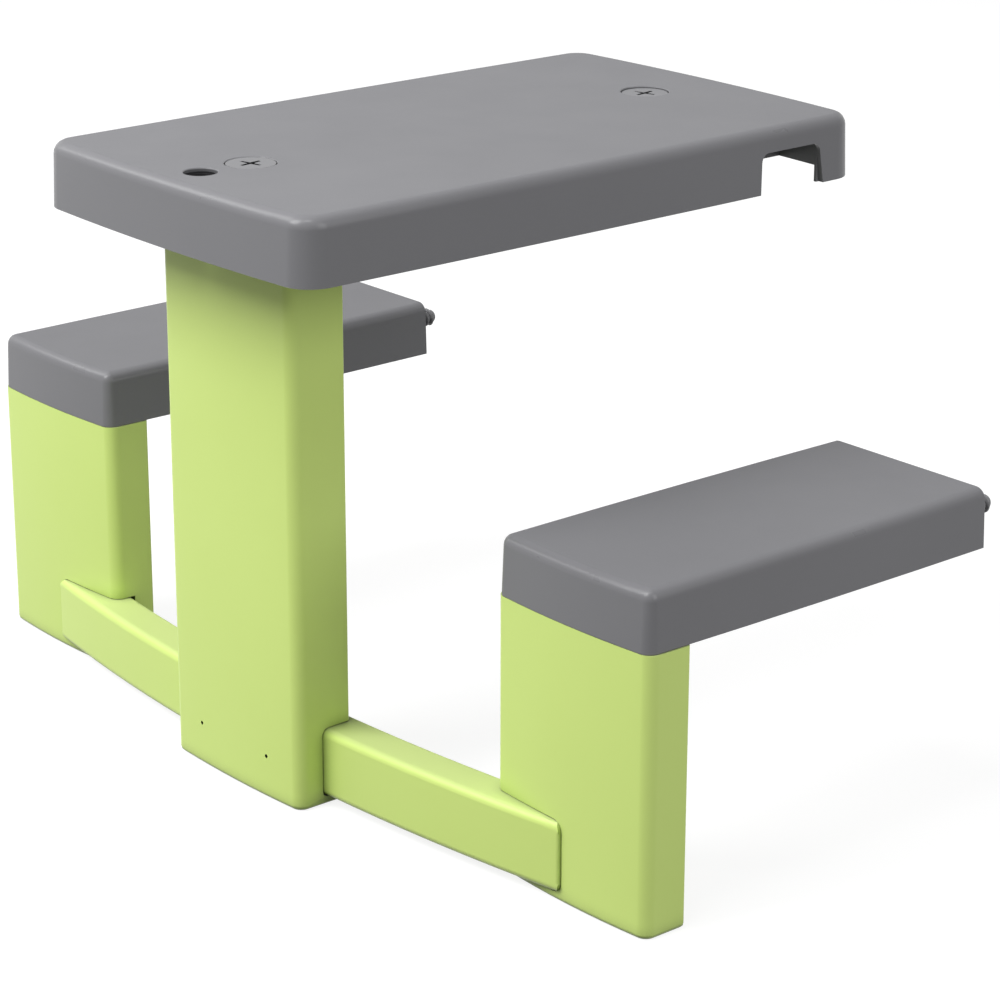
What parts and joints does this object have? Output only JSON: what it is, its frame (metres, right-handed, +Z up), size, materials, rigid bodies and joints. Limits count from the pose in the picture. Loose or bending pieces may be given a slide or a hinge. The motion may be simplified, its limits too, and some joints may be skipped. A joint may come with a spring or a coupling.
{
  "type": "child's picnic table",
  "caption": "Child's moulded-plastic picnic table with two bench seats on three legs at one end, a curved crossbar, and a notch and screws that fasten it to a playhouse wall.",
  "frame": {"origin": "middle of the bounding box at floor level, under the table top", "axes": "+X points at the house wall, along the benches; +Y points across to the far bench; +Z is up"},
  "size_m": [0.5252, 0.7714, 0.46],
  "materials": {
    "grey_plastic": "fine satin mould texture",
    "green_plastic": "fine satin mould texture",
    "screw_plastic": "satin",
    "steel": "zinc plated"
  },
  "bodies": {
    "table": {"table_top": "grey_plastic", "table_leg": "green_plastic", "near_bench_seat": "grey_plastic", "far_bench_seat": "grey_plastic", "near_bench_leg": "green_plastic", "far_bench_leg": "green_plastic", "crossbar": "green_plastic", "crossbar_screws": "steel", "bar_end_screws": "steel", "seat_screws": "steel"},
    "leg_screw": {"leg_screw": "screw_plastic"},
    "sill_screw": {"sill_screw": "screw_plastic"},
    "near_outer_wall_screw": {"near_outer_wall_screw": "screw_plastic"},
    "near_inner_wall_screw": {"near_inner_wall_screw": "screw_plastic"},
    "far_inner_wall_screw": {"far_inner_wall_screw": "screw_plastic"},
    "far_outer_wall_screw": {"far_outer_wall_screw": "screw_plastic"}
  },
  "joints": [
    {"name": "leg_screw_turn", "type": "hinge", "parent": "table", "child": "leg_screw", "pos_m": [-0.1857, 0, 0.4], "axis": [0, 0, 1], "continuous": true},
    {"name": "sill_screw_turn", "type": "hinge", "parent": "table", "child": "sill_screw", "pos_m": [0.18536, 0, 0.4], "axis": [0, 0, 1], "continuous": true},
    {"name": "near_outer_turn", "type": "hinge", "parent": "table", "child": "near_outer_wall_screw", "pos_m": [0.1586, -0.3677, 0.2285], "axis": [1, 0, 0], "continuous": true},
    {"name": "near_inner_turn", "type": "hinge", "parent": "table", "child": "near_inner_wall_screw", "pos_m": [0.1586, -0.2503, 0.2285], "axis": [1, 0, 0], "continuous": true},
    {"name": "far_inner_turn", "type": "hinge", "parent": "table", "child": "far_inner_wall_screw", "pos_m": [0.1586, 0.2503, 0.2285], "axis": [1, 0, 0], "continuous": true},
    {"name": "far_outer_turn", "type": "hinge", "parent": "table", "child": "far_outer_wall_screw", "pos_m": [0.1586, 0.3677, 0.2285], "axis": [1, 0, 0], "continuous": true}
  ]
}
